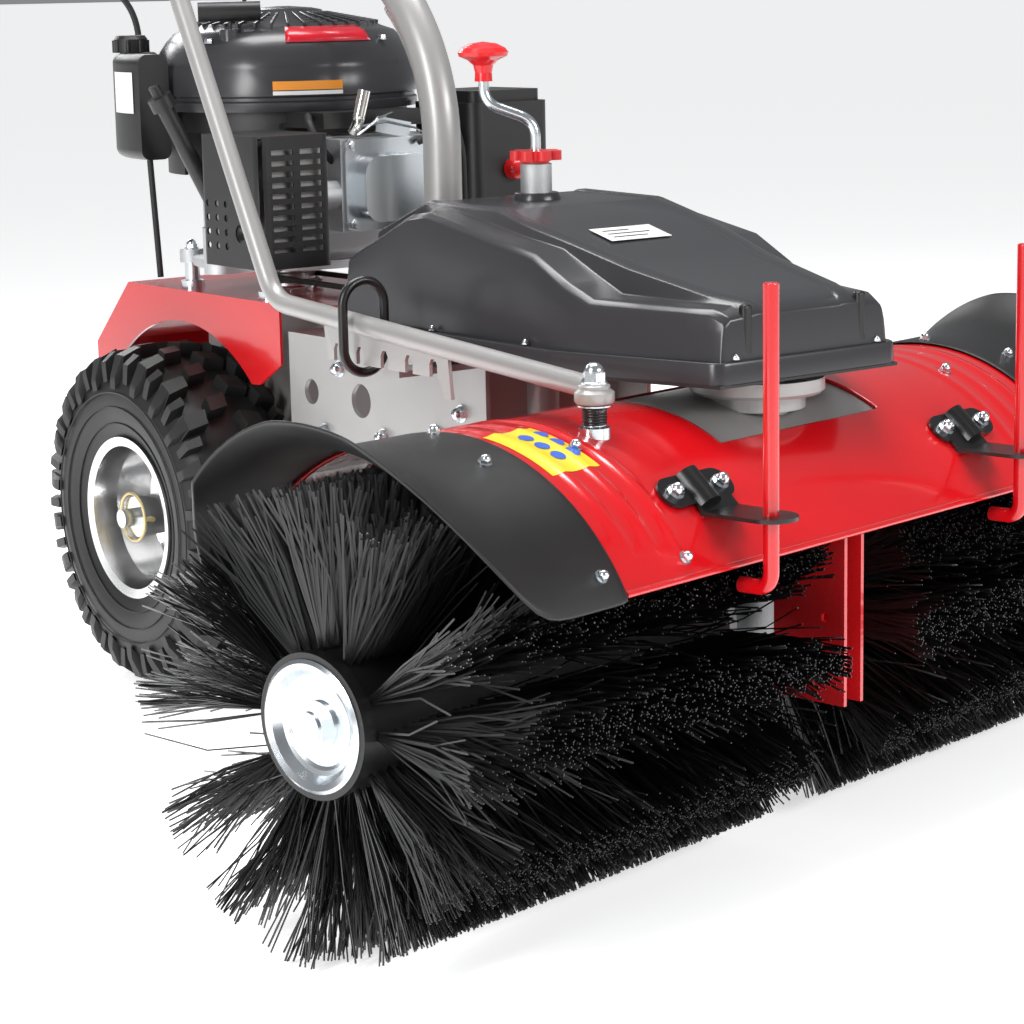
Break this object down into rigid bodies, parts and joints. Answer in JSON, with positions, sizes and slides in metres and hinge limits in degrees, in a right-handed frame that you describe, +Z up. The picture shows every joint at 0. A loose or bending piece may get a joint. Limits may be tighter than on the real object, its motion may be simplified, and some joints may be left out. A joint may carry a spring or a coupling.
{
  "type": "walk-behind power sweeper",
  "caption": "Petrol walk-behind sweeper: full-width rotating nylon broom on a swinging head with red hood and black end fenders, belt cover, engine, wheels, handlebar and adjusting rod.",
  "frame": {"origin": "on the floor, at the middle of the whole machine's box; the machine's middle plane (engine, steering column and head swivel) is x = 0.01295", "axes": "+Z up, front (broom) towards -Y, handlebar towards +Y, the broom's left end seen from the operator towards -X"},
  "size_m": [1.014, 1.4071, 1.0433],
  "materials": {
    "frame_grey": "silver-grey satin enamel",
    "black_gloss": "moulded black plastic, semi-gloss",
    "black_plastic": "black plastic, fine grain",
    "black_metal": "black powder coat",
    "red_paint": "bright red gloss enamel",
    "red_plastic": "red moulded plastic",
    "zinc": "bright zinc plate",
    "yellow_zinc": "yellow zinc plate",
    "cast_alu": "die-cast, fine sand texture",
    "polished_alu": "polished rim",
    "steel": "turned steel",
    "rubber": "black rubber",
    "tyre_rubber": "black tread rubber",
    "nylon_black": "black nylon bristles",
    "chrome": "chrome shield"
  },
  "bodies": {
    "chassis": {"main_frame": "frame_grey", "swivel_neck": "frame_grey", "belt_pan": "black_plastic", "belt_cover": "black_gloss", "chassis_bolts": "zinc", "rear_body": "red_paint", "transaxle": "cast_alu", "crankcase": "cast_alu", "cylinder_block": "cast_alu", "valve_cover": "zinc", "blower_housing": "black_plastic", "shroud_top": "black_gloss", "fuel_tank": "black_plastic", "muffler": "steel", "muffler_guard": "black_metal", "oil_filler_tube": "black_plastic", "spark_plug_boot": "chrome", "air_filter": "black_plastic", "drive_belt": "rubber", "spindle_sleeve": "cast_alu", "guide_loop": "black_metal", "handle_column": "frame_grey", "handlebar": "frame_grey", "grips": "rubber", "control_clamps": "black_plastic", "control_cables": "rubber"},
    "head": {"hood": "red_paint", "end_fenders": "black_plastic", "peg_brackets": "black_metal", "pegs": "red_paint", "brush_gearbox": "cast_alu", "centre_plates": "red_paint", "head_bolts": "zinc", "eye_bolt": "zinc"},
    "broom": {"brush_shaft": "zinc", "broom_cores": "black_plastic", "bristles": "nylon_black", "end_discs": "zinc"},
    "input_drive": {"input_shaft": "steel"},
    "engine_drive": {"engine_pulley": "steel"},
    "wheels": {"wheel_rims": "polished_alu", "tyres": "tyre_rubber", "drive_axle": "zinc", "lynch_pins": "yellow_zinc"},
    "rod_pivot": {"rod_washer": "zinc"},
    "adjusting_rod": {"rod": "frame_grey", "rod_grip": "rubber"},
    "crank": {"crank_rod": "zinc"},
    "crank_handle": {"crank_knob": "red_plastic"},
    "lock_star": {"star_knob": "red_plastic"},
    "jack": {"jack_post": "zinc"},
    "jockey_caster": {"jockey_fork": "frame_grey"},
    "jockey_roller": {"jockey_wheel": "rubber"},
    "fuel_filler_cap": {"fuel_cap": "black_plastic"},
    "oil_dipstick": {"dipstick": "black_plastic"},
    "primer": {"primer_bulb": "red_plastic"},
    "starter": {"starter_grip": "black_plastic"},
    "drive_hand_lever": {"drive_lever": "black_plastic"},
    "broom_hand_lever": {"broom_lever": "black_plastic"},
    "throttle": {"throttle_lever": "black_plastic"}
  },
  "joints": [
    {"name": "head_swivel", "type": "hinge", "parent": "chassis", "child": "head", "pos_m": [0.01295, -0.483, 0.39], "axis": [0, 0, 1], "range_deg": [-30, 10]},
    {"name": "broom_spin", "type": "hinge", "parent": "head", "child": "broom", "pos_m": [0.00427, -0.43376, 0.19], "axis": [0.9848, 0.1736, 0], "continuous": true},
    {"name": "input_spin", "type": "hinge", "parent": "chassis", "child": "input_drive", "pos_m": [0.01295, -0.483, 0.441], "axis": [0, 0, 1], "continuous": true},
    {"name": "crankshaft_spin", "type": "hinge", "parent": "chassis", "child": "engine_drive", "pos_m": [0.01295, 0.262, 0.441], "axis": [0, 0, 1], "continuous": true},
    {"name": "wheels_roll", "type": "hinge", "parent": "chassis", "child": "wheels", "pos_m": [0.01295, 0.328, 0.186], "axis": [1, 0, 0], "continuous": true},
    {"name": "rod_turn", "type": "hinge", "parent": "head", "child": "rod_pivot", "pos_m": [-0.20382, -0.5263, 0.409], "axis": [0, 0, 1], "range_deg": [-10.1, 30.1]},
    {"name": "rod_lift", "type": "hinge", "parent": "rod_pivot", "child": "adjusting_rod", "pos_m": [-0.20382, -0.5263, 0.418], "axis": [1, 0, 0], "range_deg": [-2.8, 2.8]},
    {"name": "crank_turn", "type": "hinge", "parent": "chassis", "child": "crank", "pos_m": [0.01295, -0.174, 0.6], "axis": [0, 0, 1], "range_deg": [-720, 720]},
    {"name": "crank_handle_spin", "type": "hinge", "parent": "crank", "child": "crank_handle", "pos_m": [-0.02545, -0.1452, 0.67], "axis": [0, 0, 1], "continuous": true},
    {"name": "lock_star_turn", "type": "hinge", "parent": "chassis", "child": "lock_star", "pos_m": [0.01295, -0.174, 0.585], "axis": [0, 0, 1], "range_deg": [0, 180]},
    {"name": "jack_slide", "type": "slide", "parent": "chassis", "child": "jack", "axis": [0, 0, 1], "range_m": [-0.0101, 0.0101]},
    {"name": "jockey_swivel", "type": "hinge", "parent": "jack", "child": "jockey_caster", "pos_m": [0.01295, -0.174, 0.15], "axis": [0, 0, 1], "continuous": true},
    {"name": "jockey_spin", "type": "hinge", "parent": "jockey_caster", "child": "jockey_roller", "pos_m": [0.01295, -0.154, 0.05], "axis": [1, 0, 0], "continuous": true},
    {"name": "fuel_cap_turn", "type": "hinge", "parent": "chassis", "child": "fuel_filler_cap", "pos_m": [-0.11707, 0.36358, 0.69], "axis": [0, 0, 1], "range_deg": [0, 90]},
    {"name": "dipstick_pull", "type": "slide", "parent": "chassis", "child": "oil_dipstick", "axis": [-0.4467, 0.0496, 0.8933], "range_m": [0, 0.08]},
    {"name": "primer_press", "type": "slide", "parent": "chassis", "child": "primer", "axis": [0, 1, 0], "range_m": [0, 0.005], "stiffness_N_per_m": 300},
    {"name": "starter_pull", "type": "slide", "parent": "chassis", "child": "starter", "axis": [0, 0, 1], "range_m": [0, 0.05], "stiffness_N_per_m": 40, "springref_m": -0.2},
    {"name": "drive_lever_squeeze", "type": "hinge", "parent": "chassis", "child": "drive_hand_lever", "pos_m": [-0.26705, 0.553, 0.97128], "axis": [1, 0, 0], "range_deg": [0, 9], "stiffness_Nm_per_rad": 1.5, "springref_deg": -14.32},
    {"name": "broom_lever_squeeze", "type": "hinge", "parent": "chassis", "child": "broom_hand_lever", "pos_m": [0.29295, 0.553, 0.97128], "axis": [1, 0, 0], "range_deg": [0, 9], "stiffness_Nm_per_rad": 1.5, "springref_deg": -14.32},
    {"name": "throttle_turn", "type": "hinge", "parent": "chassis", "child": "throttle", "pos_m": [0.17295, 0.357, 1.00128], "axis": [1, 0, 0], "range_deg": [-30, 30]}
  ],
  "couplings": [
    {"joint": "input_spin", "follows": "broom_spin", "ratio": 10},
    {"joint": "crankshaft_spin", "follows": "broom_spin", "ratio": 17.368},
    {"joint": "rod_turn", "follows": "head_swivel", "ratio": -1},
    {"joint": "jack_slide", "follows": "crank_turn", "m_per_rad": 0.00079577}
  ]
}
